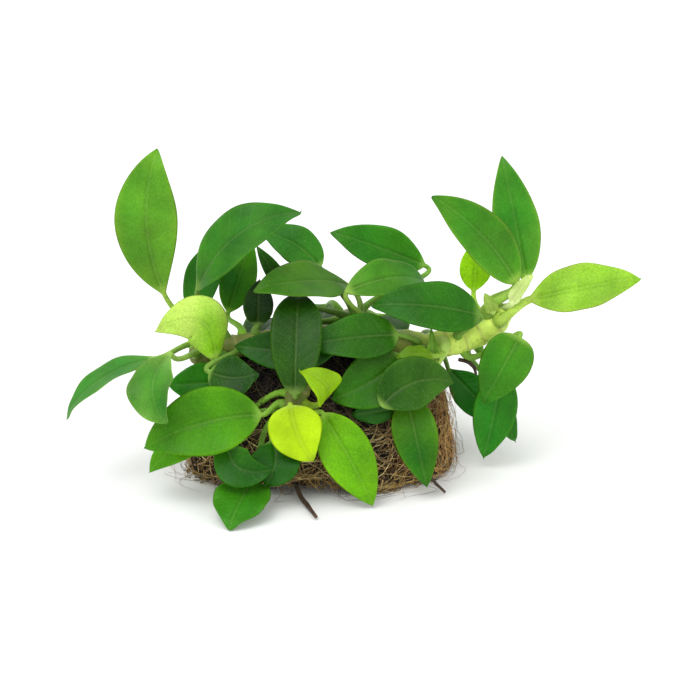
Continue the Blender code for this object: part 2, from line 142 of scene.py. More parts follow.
LEAVES = (
    Leaf("leaf_left_1", "rhizome_left", 0.93, 30, (-37.5, -3, 45), (-38.5, 3, 80), (0, -1, 0.1), 15.5,
         "#64AE45", "#A8CE5A", 0.73, belly=0.5, sway=-3.3, bright=0.3),
    Leaf("leaf_left_2", "rhizome_left", 0.80, -60, (-24.5, -15, 32.5), (-38.5, -18, 40.5), (0, -1, 0.3),
         13.0, "#90C83A", "#CCE4A8", 1.04, bow=3, sway=7, curl=-25, full=0.7, bright=-0.8),
    Leaf("leaf_left_3", "rhizome_left", 0.55, 10, (-29, -6, 47), (-3.5, -4, 66.5), (-0.5, -0.6, 0.7), 16.5,
         "#2E7A28", "#6FAE4A", 0.80, bow=6.5, belly=0.47),
    Leaf("leaf_left_4", "rhizome_left", 0.75, 60, (-31.5, 2, 38), (-23.5, 6, 58), (-0.5, -1, 0), 10,
         "#1F5F1C", "#4E9430", 1.29),
    Leaf("leaf_left_5", "rhizome_left", 0.35, 40, (-22.5, 4, 38), (-16.5, 8, 56), (0, -1, 0.1), 9,
         "#1C5A14", "#7DB828", 1.90),
    Leaf("leaf_left_6", "rhizome_left", 0.12, 0, (-14.5, -7, 38.5), (-14, -5, 49.5), (0, -1, -0.1), 7.5,
         "#0E3E0A", "#5E9A3A", 0.55, full=0.6),
    Leaf("leaf_left_7", "rhizome_left", 0.35, -90, (-25.5, -19.5, 30.8), (-14, -21, 31.1), (0, -0.8, 0.6),
         11, "#1C5E12", "#6DB34E", 0.44, bow=-1, sway=1, full=0.6, bright=0.2),
    Leaf("leaf_left_8", "rhizome_left", 0.99, -60, (-34.0, -24, 37.3), (-34.5, -36, 24), (-0.5, -0.8, 0.5),
         13, "#2C7C26", "#A8CC98", 1.00, bow=3, sway=2.2, curl=30, belly=0.5, full=0.8,
         via=(-33.5, -21, 32.5), bright=0.45),
    Leaf("leaf_left_9", "rhizome_left", 0.99, 60, (-39, -12, 31.5), (-61, -20, 19), (0, -0.1, 1), 10,
         "#2E6E38", "#8FB07A", 1.50, bow=3.5, bright=0.1),
    Leaf("leaf_left_10", "rhizome_left", 0.60, -110, (-20.5, -15, 26.4), (-36, -16, 26), (0, -0.9, 0.5), 10,
         "#1E6A08", "#4E9A1C", 1.35, full=0.7),
    Leaf("leaf_left_11", "rhizome_left", 0.55, 110, (-22, 8, 30), (-30, 25, 15), (-0.3, 1, 0.6), 12,
         "#2C7A1C", "#5FA02E", 0.80, bow=2),
    Leaf("leaf_front_1", "rhizome_front", 0.62, -30, (-5, -26, 27.5), (-4.5, -7, 47.5), (0, -1, 0.5), 12.5,
         "#357F08", "#6CB01C", 0.27, bow=3, belly=0.52, full=0.48),
    Leaf("leaf_front_2", "rhizome_centre", 0.52, -100, (4.5, -15, 35.5), (-20, -15, 36), (0, -0.85, 0.5),
         10.5, "#236408", "#3F8A14", 0.60, sway=-1.2, full=0.7),
    Leaf("leaf_front_3", "rhizome_front", 0.70, -110, (1, -26, 25.5), (-4, -27, 34.5), (0.9, -0.8, 0.1), 9,
         "#9CC80C", "#C8E020", 0.78, bow=6),
    Leaf("leaf_front_4", "rhizome_front", 0.90, -40, (-6, -26.5, 25), (-0.5, -31, 12.5), (0, -1, 0.3), 13,
         "#BEDD12", "#D4EC40", 0.95, sway=1, belly=0.36, full=0.7),
    Leaf("leaf_front_5", "rhizome_front", 0.85, -110, (1.5, -23, 21.5), (13.5, -31, 1), (0, -1, 0.4), 12.5,
         "#70B909", "#A4DA10", 0.82, sway=-0.5, full=0.75),
    Leaf("leaf_front_6", "rhizome_front", 0.78, 50, (-13, -25, 22), (-40.5, -31, 16), (-0.1, -1, 0.5), 16.5,
         "#4E9D0A", "#86C41C", 0.70, bow=2, sway=1.7, full=0.8),
    Leaf("leaf_front_7", "rhizome_front", 0.62, 90, (-24.5, -21.5, 16.5), (-40.5, -25, 7), (-0.1, -1, 0.5),
         8, "#5FB010", "#8CCB2A", 0.78, sway=1.5, via=(-17, -22, 18)),
    Leaf("leaf_front_8", "rhizome_front", 0.90, 70, (-21.5, -27, 17), (-10, -33, 11.5), (0, -1, 0.3), 10,
         "#1F6A0C", "#5AA024", 0.72, sway=4, curl=30),
    Leaf("leaf_front_9", "rhizome_front", 1.0, 10, (-10.5, -25.5, 15.5), (-12, -32.5, 6.8), (0, -1, 0.3),
         12, "#1F6A0C", "#3F8A1A", 0.72, sway=-1.5, full=0.6),
    Leaf("leaf_front_10", "rhizome_front", 0.99, 75, (-15.5, -27.5, 5.8), (-20, -43, 1), (0, -0.3, 1), 13.5,
         "#3C8F22", "#6CB432", 0.77, full=0.5, via=(-14, -25, 8.5)),
    Leaf("leaf_mid_1", "rhizome_centre", 0.10, -60, (19.5, -12, 37.5), (-3.5, -17, 36.5), (0, -0.8, 0.6),
         11.5, "#2F7410", "#57A020", 0.57, bow=2, belly=0.36, full=0.75),
    Leaf("leaf_mid_2", "rhizome_right", 0.30, 50, (39.5, -9, 41.5), (12.8, -10.5, 44.6), (0, -0.75, 0.65),
         13, "#2C7812", "#4E9A24", 0.67, bow=3, belly=0.38, full=0.75),
    Leaf("leaf_mid_3", "rhizome_centre", 0.08, -115, (15.5, -23.5, 23.5), (33, -19, 28), (0, -1, 0.4), 13,
         "#2F7810", "#6FAE4A", 0.36, sway=-3, full=0.75, via=(22, -22, 24), bright=-0.35),
    Leaf("leaf_mid_4", "rhizome_centre", 0.05, -85, (20.5, -14, 33), (3.5, -20, 24), (0, -1, 0.5), 13.5,
         "#3C8C0A", "#74B81C", 0.52, sway=-1.5, full=0.7),
    Leaf("leaf_mid_5", "rhizome_centre", 0.18, -140, (22, -18.5, 22.5), (26.5, -27, 4), (0, -1, 0.3), 11,
         "#2A7A18", "#8CB82A", 0.72, belly=0.34, full=0.6),
    Leaf("leaf_mid_6", "rhizome_right", 0.10, 90, (28, -13, 32.5), (19, -16, 33.5), (0, -0.6, 0.8), 5,
         "#7FAE3A", "#A4C85A", 0.70),
    Leaf("leaf_mid_7", "rhizome_centre", 0.35, -120, (19, -18.3, 21), (8, -21, 20.3), (0, -1, 0.3), 6,
         "#1F5E14", "#3A7A1C", 0.80, via=(19, -17.5, 26)),
    Leaf("leaf_back_1", "rhizome_back", 0.45, -60, (-7.5, 10, 41), (-15.5, 10, 53.5), (0, -1, 0.3), 4.5,
         "#2A6A20", "#5A9638", 0.80),
    Leaf("leaf_back_2", "rhizome_back", 0.35, -20, (0.5, 6, 49), (-14.5, 10, 57), (0.2, -0.9, 0.6), 10,
         "#2E7A28", "#5A9A3A", 1.00, sway=1.6, full=0.7),
    Leaf("leaf_back_3", "rhizome_back", 0.24, 10, (8, 4, 44.7), (-15, -15, 50), (0, -0.6, 0.8), 12.5,
         "#4A8A28", "#7FA84A", 0.64, bow=3.5, sway=-1, belly=0.52, via=(10.5, 4, 42)),
    Leaf("leaf_back_4", "rhizome_back", 0.55, 40, (27, 16, 46.5), (3, 14, 56), (0, -0.85, 0.6), 12,
         "#2F8220", "#64A83C", 0.85),
    Leaf("leaf_back_5", "rhizome_back", 0.02, 40, (7, -6, 46.5), (28, 7.5, 43.8), (0, -0.65, 0.75), 11.5,
         "#3A8628", "#8CB45A", 0.82, bow=4.5, via=(6, -7, 43)),
    Leaf("leaf_back_6", "rhizome_back", 0.99, -20, (2, 24, 33), (-3, 40, 14), (0, 1, 0.7), 13, "#2F7E20",
         "#66AA30", 0.80, bow=3),
    Leaf("leaf_back_7", "rhizome_back", 0.90, 70, (15, 22, 31), (20, 38, 15), (0.2, 1, 0.7), 13, "#3A8C1C",
         "#78B82C", 0.80, bow=3),
    Leaf("leaf_back_8", "rhizome_back", 0.75, -90, (-9, 20, 30), (-20, 34, 16), (-0.2, 1, 0.7), 12.5,
         "#2A7420", "#5C9C34", 0.80, bow=3),
    Leaf("leaf_back_9", "rhizome_back", 0.60, 110, (20, 22, 20), (23, 31, 4), (0, 1, 0.2), 11, "#2C7818",
         "#5EA028", 0.80),
    Leaf("leaf_back_10", "rhizome_back", 0.99, 150, (3, 25, 20), (1, 34, 2), (0, 1, 0.2), 12, "#348418",
         "#6CAE28", 0.80, via=(5, 23, 27)),
    Leaf("leaf_back_11", "rhizome_centre", 0.80, 50, (-11, 22, 21), (-16, 30, 4), (-0.1, 1, 0.2), 11,
         "#286E1C", "#5A9A2C", 0.80, via=(-10, 21, 33)),
    Leaf("leaf_right_1", "rhizome_right", 0.86, 10, (48.5, -3, 48), (27.5, -6, 70.5), (0.2, -1, 0.4), 12,
         "#439A2C", "#B4D872", 0.69, sway=1.8, full=0.65, stalk=1.2, bright=0.14),
    Leaf("leaf_right_2", "rhizome_right", 0.99, -30, (51.5, 1, 47.5), (45, 6, 77.5), (0, -1, 0.2), 11.5,
         "#3F9638", "#B4D872", 0.85, stalk=1.3, bright=0.14),
    Leaf("leaf_right_3", "rhizome_right", 0.70, -30, (39, 6, 43), (39.5, 8, 56), (0, -1, 0.1), 8, "#96CC14",
         "#B8E040", 1.32),
    Leaf("leaf_right_4", "rhizome_right", 0.92, 80, (52.5, -2, 43.3), (79, -4, 49.5), (0, -0.8, 0.7), 12.5,
         "#9CD44C", "#DCEFA0", 0.77, stalk=1.2),
    Leaf("leaf_right_5", "rhizome_right", 0.35, 150, (49.3, -9, 36), (40.5, -12, 19.5), (-0.1, -1, 0.3),
         12.5, "#459E2A", "#84C04A", 0.60, belly=0.33, full=0.6),
    Leaf("leaf_right_6", "rhizome_right", 0.50, 170, (46, -5, 26), (41.5, -8, 3), (0, -1, 0.2), 11,
         "#22741F", "#5CA040", 1.21),
    Leaf("leaf_right_7", "rhizome_right", 0.20, -120, (33.5, 13, 19.2), (45.5, 1, 9.5), (0.2, -1, 0.3), 10,
         "#146014", "#2E7A20", 1.30, belly=0.53, full=0.8, via=(32, 11, 25)),
    Leaf("leaf_right_8", "rhizome_right", 0.40, -160, (43.5, 1, 19.5), (50.5, 1, 3.5), (0, -1, 0.2), 6,
         "#2A7E24", "#5CA03C", 1.00),
    Leaf("leaf_right_9", "rhizome_right", 0.10, -80, (27, 14, 28), (30, 28, 14), (0.3, 1, 0.7), 11,
         "#2C7A1E", "#5EA030", 0.80, bow=2),
)

# ages of the leaves; the rest are mature
LEAF_AGES = {
    "new_leaf": ("leaf_front_3", "leaf_front_4"),
    "young_leaf": ("leaf_front_5", "leaf_left_2", "leaf_right_3", "leaf_right_4", "leaf_front_7",
                   "leaf_front_10", "leaf_mid_6"),
    "old_leaf": ("leaf_left_6", "leaf_left_4", "leaf_back_1", "leaf_right_7", "leaf_left_10",
                 "leaf_front_9", "leaf_mid_7", "leaf_left_5", "leaf_left_9"),
}

# thin pale sheaths that wrapped the newest leaves at the growing end
SHEATHS = (
    Leaf("sheath_tall", "rhizome_right", 0.96, -60, (47.5, -4.5, 43.0), (52.5, -4.2, 50.5),
         (-0.5, -1, 0.3), 5, "#C2DA7E", "#DCE8A8", curl=75, bow=0.6, full=0.8, stalk=1.0, bright=0.5),
    Leaf("sheath_short", "rhizome_right", 0.80, -20, (43.0, -5.0, 41.0), (40.8, -5.6, 46.0),
         (0, -1, 0.2), 4.5, "#9CC450", "#C8E070", curl=70, bow=0.5, full=0.8, stalk=0.9, bright=0.5),
    Leaf("sheath_inner", "rhizome_right", 0.10, 75, (28.5, -10.4, 29.5), (27.6, -11.8, 39.0), (0, -1, 0.2),
         4, "#5E9A24", "#B8D468", curl=75, bow=0.4, full=0.5, stalk=1.3, bright=0.3),
)


@dataclass
class Fibres:
    """One group of loose fibres: how many, where they start on the mat, and how they lie."""

    name: str
    count: int
    steps: int                   # points along each fibre
    stride: float                # distance from one to the next
    around: tuple                # middle and spread, in radians, of their starts round the stone
    share: tuple                 # lowest and highest start: 0 on top, 1 at the mat's edge
    heading: tuple               # middle and spread of their direction: 0 round the stone, pi/2 down it
    wander: float                # how fast that direction drifts
    lift: tuple                  # lowest and highest rest over the mat's inner face
    loft: float                  # how far the middle of a fibre stands off
    tail: float                  # how far its end stands off
    reach: float                 # how far past the mat's edge they may run, as a share
    radius: tuple
    shades: tuple                # the two colours they run between


COIR = (
    Fibres("coir_dark", 1300, 15, 1.1, (0.0, np.pi), (0.05, 1.0), (0.0, 0.55), 0.16, (1.4, 2.3), 0.5, 0.1,
           0.03, (0.08, 0.20), ("#120C07", "#3A2413")),
    Fibres("coir_brown", 400, 15, 1.1, (0.0, np.pi), (0.05, 1.0), (0.0, 0.6), 0.20, (1.6, 2.3), 0.6, 0.2,
           0.03, (0.06, 0.15), ("#2C1B0E", "#7A5230")),
    Fibres("coir_straw", 650, 18, 1.2, (0.0, np.pi), (0.35, 1.0), (0.0, 0.45), 0.17, (1.9, 2.5), 0.8, 0.3,
           0.04, (0.06, 0.15), ("#9A7832", "#FFEBA6")),
    Fibres("coir_rust", 450, 12, 0.8, (-0.30, 0.45), (0.40, 0.95), (0.6, 1.2), 0.28, (1.7, 2.3), 1.2, 3.4,
           0.03, (0.05, 0.10), ("#9A6022", "#FFD888")),
    Fibres("coir_hairs", 240, 20, 1.2, (0.0, np.pi), (0.3, 1.0), (0.4, 0.8), 0.20, (2.0, 3.0), 2.0, 3.0,
           0.20, (0.035, 0.07), ("#4A3018", "#B08A58")),
    Fibres("coir_fringe", 520, 12, 0.9, (3.6, 2.2), (0.80, 1.0), (1.45, 0.5), 0.16, (0.8, 2.2), 0.2, 0.3,
           0.13, (0.06, 0.16), ("#140E06", "#C09A50")),
    Fibres("matted_roots", 90, 34, 1.2, (0.0, np.pi), (0.3, 1.0), (0.0, 0.5), 0.13, (1.8, 2.6), 0.5, 0.2,
           0.05, (0.22, 0.40), ("#2E1D11", "#9C7C50")),
)

# ---------------------------------------------------------------- numbers and curves

def unit(a):
    """Each vector of the array at length one."""
    return a / np.linalg.norm(a, axis=-1, keepdims=True)


def dot(a, b):
    """The dot product of each pair of vectors, kept as a column."""
    return np.sum(a * b, axis=-1, keepdims=True)


def square_to(a, axis):
    """The part of each vector at right angles to its axis, at length one."""
    return unit(a - dot(a, axis) * axis)


def turned(a, axis, angle):
    """Each vector turned about its axis by an angle in radians."""
    return a * np.cos(angle) + np.cross(axis, a) * np.sin(angle) + axis * dot(axis, a) * (1 - np.cos(angle))


def ease(x, low=0.0, high=1.0):
    """A smooth step: 0 below low, 1 above high, and 3t^2 - 2t^3 between."""
    t = np.clip((x - low) / (high - low), 0, 1)
    return t * t * (3 - 2 * t)


def bell(x, width):
    """A Gaussian hump, 1 at zero, with this standard deviation."""
    return np.exp(-0.5 * (x / width) ** 2)


def quadratic(a, b, c, t):
    """Points and directions at t on the quadratic Bezier curve with control points a, b and c."""
    t = np.asarray(t, float)[:, None]
    return ((1 - t) ** 2 * a + 2 * t * (1 - t) * b + t**2 * c,
            unit((1 - t) * (b - a) + t * (c - b)))


def cubic(a, b, c, d, t):
    """Points and directions at t on the cubic Bezier curve with control points a, b, c and d."""
    t = np.asarray(t, float)[:, None]
    s = 1 - t
    return (s**3 * a + 3 * s**2 * t * b + 3 * s * t**2 * c + t**3 * d,
            unit(s**2 * (b - a) + 2 * s * t * (c - b) + t**2 * (d - c)))


def smooth_path(points, steps):
    """A Catmull-Rom curve through the points: steps samples on each span, and the last point."""
    points = np.asarray(points, float)
    padded = np.vstack((2 * points[0] - points[1], points, 2 * points[-1] - points[-2]))
    a, b, c, d = (padded[i:len(padded) - 3 + i, None] for i in range(4))
    t = (np.arange(steps) / steps)[None, :, None]
    curve = 0.5 * (2 * b + (c - a) * t + (2 * a - 5 * b + 4 * c - d) * t**2 + (3 * b - a - 3 * c + d) * t**3)
    return np.vstack((curve.reshape(-1, points.shape[1]), points[-1]))


def ripple(points, pitch, seed, waves=9):
    """A smooth random height, about -1 to 1, at each point: a sum of sine waves in random directions."""
    dice = np.random.default_rng(seed)
    directions = unit(dice.normal(size=(waves, 3))) * dice.uniform(0.6, 1.6, (waves, 1)) * 2 * np.pi / pitch
    phases = dice.uniform(0, 2 * np.pi, waves)
    return np.sin(points @ directions.T + phases).sum(-1) / np.sqrt(waves)


def linear(colour):
    """An sRGB hex colour as linear red, green and blue."""
    c = np.array([int(colour[i:i + 2], 16) for i in (1, 3, 5)]) / 255
    return np.where(c <= 0.04045, c / 12.92, ((c + 0.055) / 1.055) ** 2.4)


def mixed(a, b, share):
    """Colour a run into colour b by a share for each point."""
    share = np.asarray(share)[..., None]
    return a * (1 - share) + b * share


# ---------------------------------------------------------------- meshes from grids

def put_mesh(name, points, faces, finish, attributes, smooth=True):
    """One piece: points in millimetres, faces as a list of index arrays, each with one count of corners."""
    mesh = bpy.data.meshes.new(name)
    mesh.vertices.add(len(points))
    mesh.vertices.foreach_set("co", (points * MM).astype(np.float32).ravel())
    corners = np.concatenate([f.ravel() for f in faces])
    counts = np.concatenate([np.full(len(f), f.shape[1]) for f in faces])
    mesh.loops.add(len(corners))
    mesh.loops.foreach_set("vertex_index", corners.astype(np.int32))
    mesh.polygons.add(len(counts))
    mesh.polygons.foreach_set("loop_start", (np.cumsum(counts) - counts).astype(np.int32))
    mesh.polygons.foreach_set("use_smooth", np.full(len(counts), smooth))
    for label, values in attributes.items():
        kind = "FLOAT" if values.ndim == 1 else "FLOAT_COLOR"
        layer = mesh.attributes.new(label, kind, "POINT")
        if kind == "FLOAT":
            layer.data.foreach_set("value", values.astype(np.float32))
        else:
            rgba = np.hstack((values, np.ones((len(values), 1))))
            layer.data.foreach_set("color", rgba.astype(np.float32).ravel())
    mesh.update(calc_edges=True)
    mesh.materials.append(finish)
    piece = bpy.data.objects.new(name, mesh)
    bpy.context.scene.collection.objects.link(piece)
    return piece


def skin_faces(rows, around):
    """Quads between rows of a closed tube, and triangles from its first and last rows to two poles."""
    i, j = np.meshgrid(np.arange(rows - 1), np.arange(around), indexing="ij")
    k = (j + 1) % around
    quads = np.stack((i * around + j, i * around + k, (i + 1) * around + k, (i + 1) * around + j), -1)
    j = np.arange(around)
    k = (j + 1) % around
    first, last = rows * around, rows * around + 1
    end = (rows - 1) * around
    start_fan = np.stack((k, j, np.full(around, first)), -1)
    end_fan = np.stack((end + j, end + k, np.full(around, last)), -1)
    return [quads.reshape(-1, 4), np.vstack((start_fan, end_fan))]


def facing_out(points, faces):
    """The faces, turned over if they enclose a negative volume."""
    volume = 0.0
    for group in faces:
        fan = points[group]
        for corner in range(1, group.shape[1] - 1):
            volume += np.sum(np.cross(fan[:, 0], fan[:, corner]) * fan[:, corner + 1])
    return faces if volume > 0 else [group[:, ::-1] for group in faces]


def skin(name, rings, poles, finish, attributes):
    """A closed piece from rings of points (rows, around, 3) and the two poles that close it."""
    rows, around, _ = rings.shape
    points = np.vstack((rings.reshape(-1, 3), poles))
    spread = {}
    for label, values in attributes.items():
        flat = values.reshape(rows * around, -1)
        ends = np.stack((values[0].mean(0), values[-1].mean(0))).reshape(2, -1)
        spread[label] = np.vstack((flat, ends)).squeeze(-1) if values.ndim == 2 else np.vstack((flat, ends))
    return put_mesh(name, points, facing_out(points, skin_faces(rows, around)), finish, spread)


def strands(name, paths, radii, sides, finish, attributes):
    """Many closed tubes in one piece. paths is (tubes, steps, 3), radii (tubes, steps)."""
    count, steps, _ = paths.shape
    along = unit(np.gradient(paths, axis=1))
    dice = np.random.default_rng(count)
    guide = unit(dice.normal(size=(count, 1, 3))) * np.ones((1, steps, 1))
    across = square_to(guide, along)
    up = np.cross(along, across)
    turn = (np.arange(sides) * 2 * np.pi / sides)[None, None, :, None]
    points = (paths[:, :, None] + radii[:, :, None, None] * (np.cos(turn) * across[:, :, None]
                                                              + np.sin(turn) * up[:, :, None]))
    f, i, j = np.meshgrid(np.arange(count), np.arange(steps - 1), np.arange(sides), indexing="ij")
    k = (j + 1) % sides
    row = (f * steps + i) * sides
    quads = np.stack((row + j, row + k, row + sides + k, row + sides + j), -1).reshape(-1, 4)
    base = np.arange(count)[:, None] * steps * sides
    starts = base + np.arange(sides)[::-1]
    ends = base + (steps - 1) * sides + np.arange(sides)
    spread = {}
    for label, values in attributes.items():
        wide = np.repeat(values[:, :, None], sides, axis=2)
        spread[label] = wide.reshape(count * steps * sides, -1).squeeze(-1) if values.ndim == 2 \
            else wide.reshape(count * steps * sides, -1)
    return put_mesh(name, points.reshape(-1, 3), [quads, np.vstack((starts, ends))], finish, spread)


def settle(piece, slot, *nodes):
    """The piece rides with the plant and stands for its CAD nodes; its slot is not used."""
    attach(piece, BODY)
    if nodes:
        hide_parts(*nodes)


# ---------------------------------------------------------------- leaves

BLADE_ROWS = 74
STALK_ROWS = 18
ACROSS = 30                      # spaces across one side of a blade
TIP_POWER = 0.80                 # how sharply a blade runs to its tip
SHEATH_REACH = 1.8               # how far a petiole's swollen foot runs up it
SUNK = 1.4                       # how far that foot is sunk into the rhizome
PIGMENT = np.array((0.88, 1.0, 0.3))    # what leaf pigment leaves of red, green and blue light
MARGIN_POWER = 0.7               # how much of a leaf's lightness its margin shares
VEIN_SLANT = 0.24                # how far along the blade a side vein runs on its way to the margin
GROOVE_DEPTH = 0.24
GROOVE_WIDTH = 0.34
TIP_DROOP = 0.9
CREASE_PAINTED_SHADE = 0.20              # how much painted shade darkens the folds beside the midrib


def petiole_start(leaf):
    """Where the petiole leaves its rhizome, and the direction out of it."""
    path = smooth_path(RHIZOMES[leaf.stem], 8)
    place = leaf.at * (len(path) - 1)
    low = min(int(place), len(path) - 2)
    here = path[low] + (path[low + 1] - path[low]) * (place - low)
    axis = unit((path[low + 1] - path[low])[:3])
    out = turned(square_to(np.array((0.0, 0.0, 1.0)), axis), axis, np.radians(leaf.side))
    return here[:3] + out * (here[3] + GAP), out


def leaf_outline(leaf, u):
    """Half width over the widest: sin(pi u^a)^p, where a puts the widest place at the belly and p rises
    towards the tip, which draws it to a point."""
    s = u ** (np.log(0.5) / np.log(leaf.belly))
    power = leaf.full + max(0.0, TIP_POWER - leaf.full) * ease(s, 0.55, 0.95)
    return np.sin(np.pi * np.clip(s, 0, 1)) ** power


def leaf_line(leaf):
    """The centre line of petiole and blade, with the side, the normal and the place on each row."""
    base, tip = np.array(leaf.base, float), np.array(leaf.tip, float)
    chord = unit(tip - base)
    arch = square_to(np.array(leaf.face, float), chord)
    flat = np.cross(chord, arch)
    top = (base + tip) / 2 + arch * 2 * leaf.bow + flat * 2 * leaf.sway
    t = np.linspace(0, 1, BLADE_ROWS)
    u = t - 0.055 * np.sin(2 * np.pi * t)
    middle, along = quadratic(base, top, tip, u)
    side = square_to(flat * np.ones_like(along), along)
    start, out = petiole_start(leaf)
    reach = np.linalg.norm(base - start) / 3
    bend = np.array(leaf.via, float) if leaf.via else base - along[0] * reach
    rise = np.linspace(0, 1, STALK_ROWS, endpoint=False)
    stalk, climb = cubic(start, start + out * reach, bend, base, rise)
    sunk = start - out * SUNK * np.array([[1.0], [0.5]])
    stalk, climb = np.vstack((sunk, stalk)), np.vstack((out, out, climb))
    sides = [side[0]]
    for direction in climb[::-1]:
        sides.append(square_to(sides[-1], direction))
    side = np.vstack((sides[:0:-1], side))
    middle, along = np.vstack((stalk, middle)), np.vstack((climb, along))
    place = np.concatenate((np.full(2, -1.0), rise - 1, u))
    return middle, along, side, np.cross(side, along), place


def leaf_greens(leaf):
    """The linear colours of a blade and of its margin. Its pigment takes up most of the blue light and
    some of the red, and how light a leaf is shows less in its margin. A sheath keeps its own colours."""
    tone, pale_and_sheen = linear(leaf.tone), linear(leaf.pale_and_sheen)
    if leaf.light is None:
        return tone, pale_and_sheen
    return tone * PIGMENT * leaf.light, pale_and_sheen * PIGMENT * leaf.light ** MARGIN_POWER


def leaf_skin(leaf, finish, sizes):
    """The closed skin of one leaf.

    Each row is a ring: from the left margin over the upper side to the right margin and back underneath.
    On the petiole it is a circle. On the blade it is two arcs a blade's thickness apart, with a groove
    along the midrib above, a rib under it that thins towards the tip, side veins that sink between
    raised panels, and margins that wave.
    """
    dice = np.random.default_rng(sum(leaf.name.encode()))
    middle, along, side, normal, place = leaf_line(leaf)
    u = np.clip(place, 0, 1)[:, None]
    rise = np.clip(place + 1, 0, 1)[:, None]
    on_blade = ease(place, 0.0, 0.09)[:, None]
    s = np.linspace(-1, 1, ACROSS + 1)
    s = np.concatenate((s, s[-2:0:-1]))[None]
    v = (1 - on_blade) * np.sin(np.pi / 2 * s) + on_blade * np.sign(s) * np.abs(s) ** 1.35
    upper = np.concatenate((np.ones(ACROSS + 1), np.zeros(ACROSS - 1)))[None]
    upper[0, (0, ACROSS)] = 0.5
    facing = np.sign(upper - 0.25)
    facing[0, (0, ACROSS)] = 0
    length = np.linalg.norm(np.diff(middle[place >= 0], axis=0), axis=1).sum()
    stalk_length = np.linalg.norm(np.diff(middle[place <= 0], axis=0), axis=1).sum()
    foot = leaf.stalk * 0.65 * np.exp(-rise * stalk_length / SHEATH_REACH)
    radius = leaf.stalk * (1 - 0.2 * rise) + foot
    blade = leaf.width / 2 * leaf_outline(leaf, u)
    half = np.hypot(blade * (place[:, None] > 0), radius * (1 - u) ** 3)
    curl = np.radians(leaf.curl) * on_blade * (1 + 0.25 * np.sin(2 * np.pi * u + dice.uniform(0, 6))) + 1e-4
    across = half * np.sin(curl * v) / curl
    lift = half * (1 - np.cos(curl * v)) / curl
    phase = sizes.veins * (u - VEIN_SLANT * np.abs(v) ** 0.8 * (1 - 0.5 * u))
    fade = on_blade * ease(1 - np.abs(v), 0.0, 0.3) * ease(1 - u, 0.0, 0.25) * ease(np.abs(across), 0.2, 1.2)
    quilt = fade * (0.5 - 0.5 * np.cos(2 * np.pi * phase))
    swing = np.sin(2 * np.pi * (dice.uniform(1.8, 3.0) * u + dice.uniform(0, 1)) + np.where(v > 0, 2.1, 0.0))
    lift = lift + sizes.margin_wave / MM * on_blade * swing * np.abs(v) ** 2.5 * np.sin(np.pi * u)
    lift = lift + sizes.vein_depth / MM * quilt
    lift = lift - TIP_DROOP * ease(u, 0.82, 1.0) ** 2 * on_blade
    edge = np.sqrt(np.clip(1 - np.abs(v) ** 6, 0, 1))
    round_part = radius * np.sqrt(np.clip(1 - v**2, 0, 1))
    rib = 0.85 * leaf.stalk * (1 - 0.88 * u) * bell(across, 0.45 * leaf.stalk + 0.15)
    groove = GROOVE_DEPTH * (1 - u) ** 0.6 * bell(across, GROOVE_WIDTH) * np.minimum(1, leaf.width / 9)
    half_thick = sizes.blade_thickness / MM / 2 * edge * np.clip(half / 0.8, 0.25, 1)
    above = (1 - on_blade) * round_part + on_blade * (half_thick - groove)
    below = (1 - on_blade) * round_part + on_blade * (half_thick + rib)
    lift = lift + np.where(facing > 0, above, np.where(facing < 0, -below, 0.0))
    rings = middle[:, None] + side[:, None] * across[..., None] + normal[:, None] * lift[..., None]
    tone, pale_and_sheen = leaf_greens(leaf)
    # the paler green is the leaf's real pale base and margin, and where it is whitish it is a painted sheen,
    # at the base for a positive share and at the tip for a negative one
    from_end = np.exp(-u / 0.22) if leaf.bright > 0 else ease(u, 0.1, 0.9)
    pale_and_sheen_mix = (abs(leaf.bright) * (from_end + 0.25 * (1 + ripple(rings, 11.0, 3)))
             + 0.40 * np.abs(v) ** 14)
    tint = mixed(tone, pale_and_sheen, np.clip(pale_and_sheen_mix, 0, 1))
    tint = mixed(tint, np.array(sizes.midrib), 0.10 * bell(across, 0.15) * (1 - 0.6 * u) * on_blade)
    # painted shade in the folds beside the midrib
    painted_crease_shade = on_blade * (1 - 0.7 * u) * (bell(across - 0.45, 0.22) + bell(across + 0.45, 0.22))
    tint = tint * (1 - CREASE_PAINTED_SHADE * painted_crease_shade)[..., None]
    stalk_tint = mixed(pale_and_sheen, np.array(sizes.petiole), 0.5)
    tint = mixed(tint, stalk_tint, 0.85 * (1 - on_blade) * (0.75 + 0.25 * rise))
    tint = mixed(tint, np.array(sizes.underside), 0.30 * on_blade * (facing < 0))
    shade = np.ones_like(across)
    return skin("anubias_" + leaf.name, rings[:-1], np.vstack((middle[0], middle[-1])), finish,
                {"tint": tint[:-1], "vein": (phase * shade)[:-1], "across": across[:-1],
                 "blade": (on_blade * shade)[:-1]})


# ---------------------------------------------------------------- rhizome and thick roots

